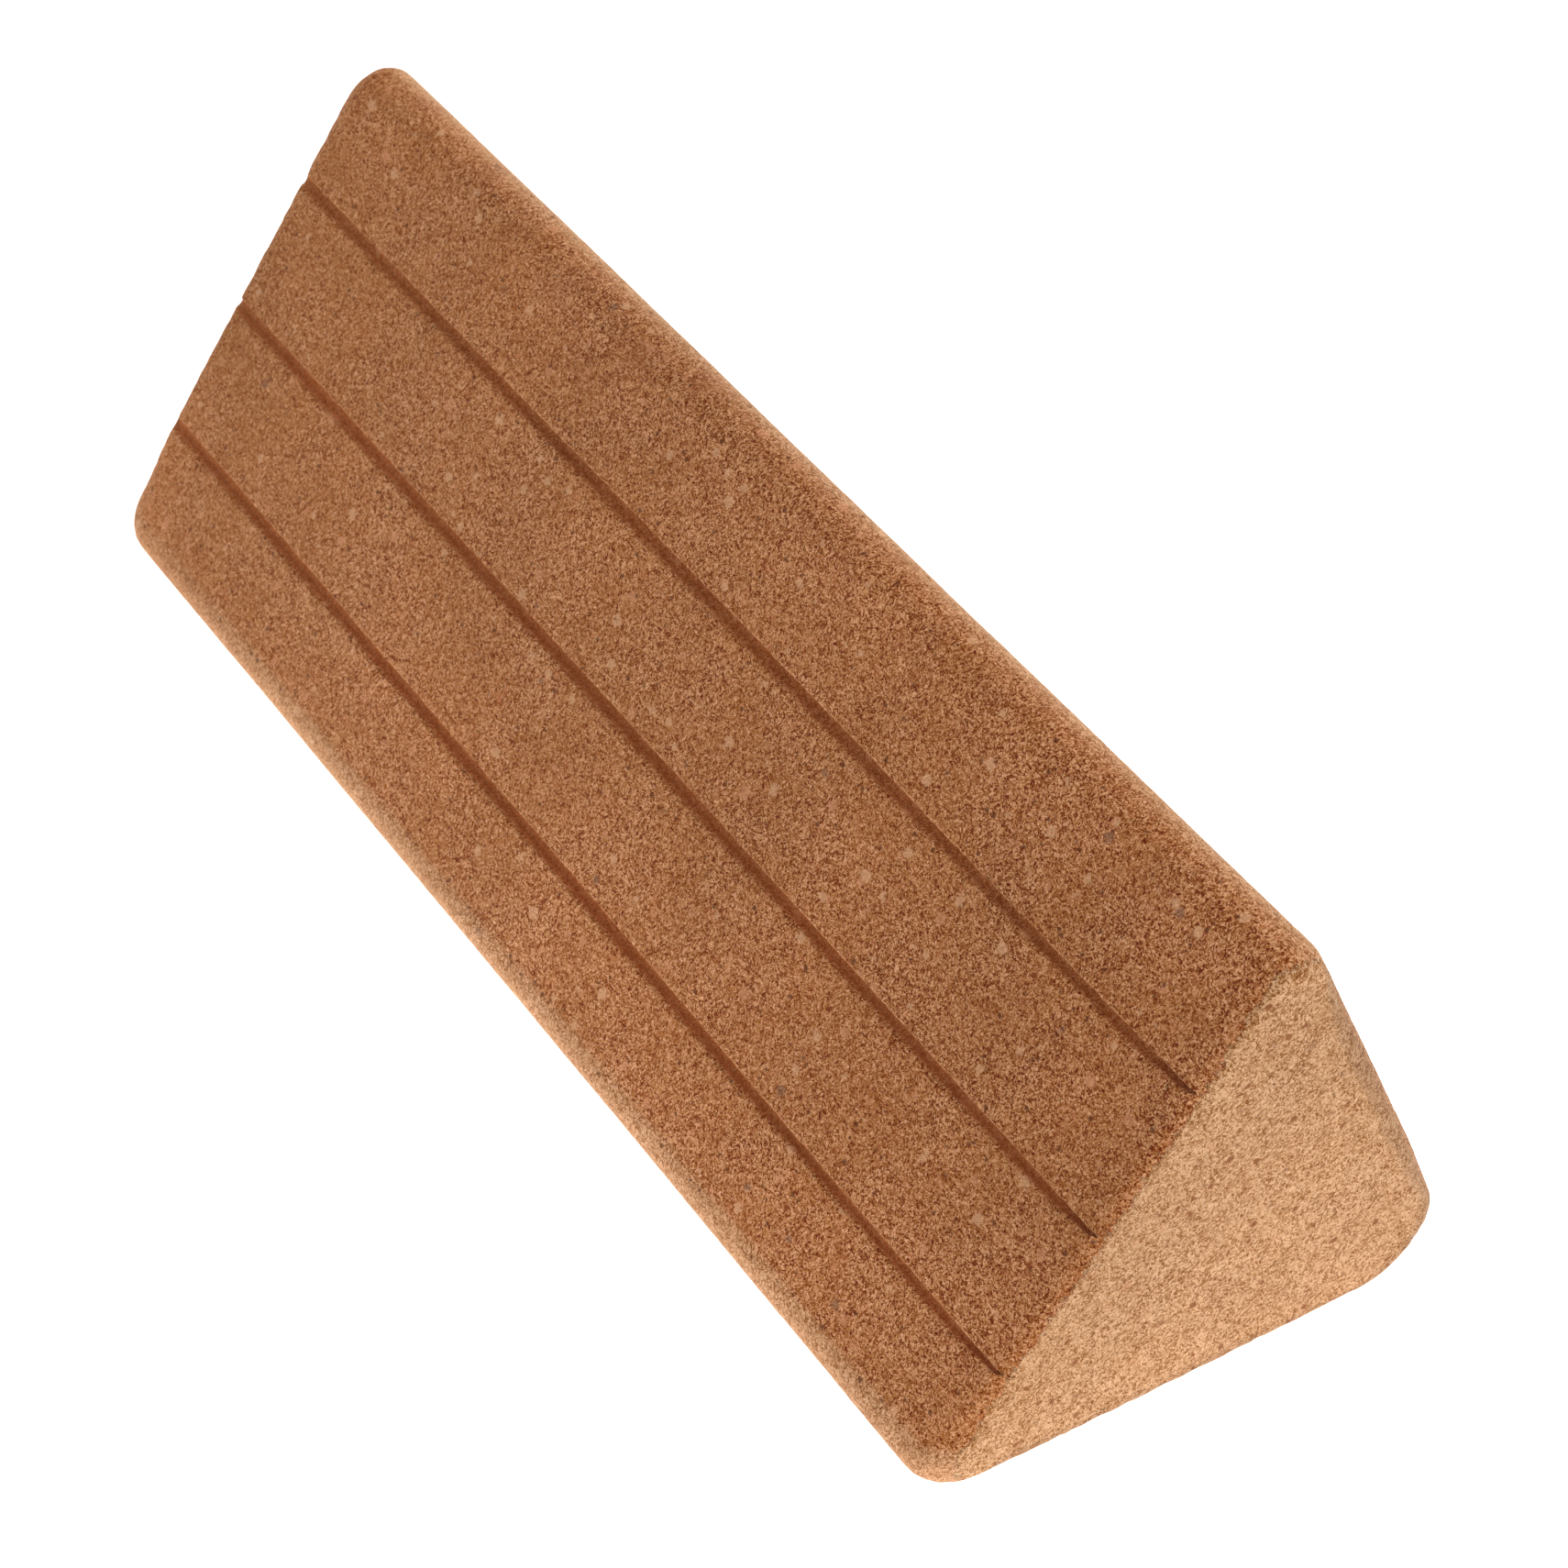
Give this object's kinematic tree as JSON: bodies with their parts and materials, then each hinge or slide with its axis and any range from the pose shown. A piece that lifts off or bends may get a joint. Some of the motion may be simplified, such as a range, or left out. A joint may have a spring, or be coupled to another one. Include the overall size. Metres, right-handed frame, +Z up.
{
  "type": "sanding block",
  "caption": "Three-sided cork hand sanding block with rounded long edges, plain abrasive-backing faces and one face with shallow lengthwise grooves.",
  "frame": {"origin": "bottom centre of the bounding box: on the plane of the base face, at mid length", "axes": "+X along the length, +Z up with the block resting on its plain base face, grooved face towards -Y and up, second plain face towards +Y and up"},
  "size_m": [0.12, 0.0456, 0.0413],
  "materials": {
    "cork": "raw sanded fine-grain composition cork, matt"
  },
  "bodies": {
    "root": {"cork_block": "cork"}
  },
  "joints": []
}
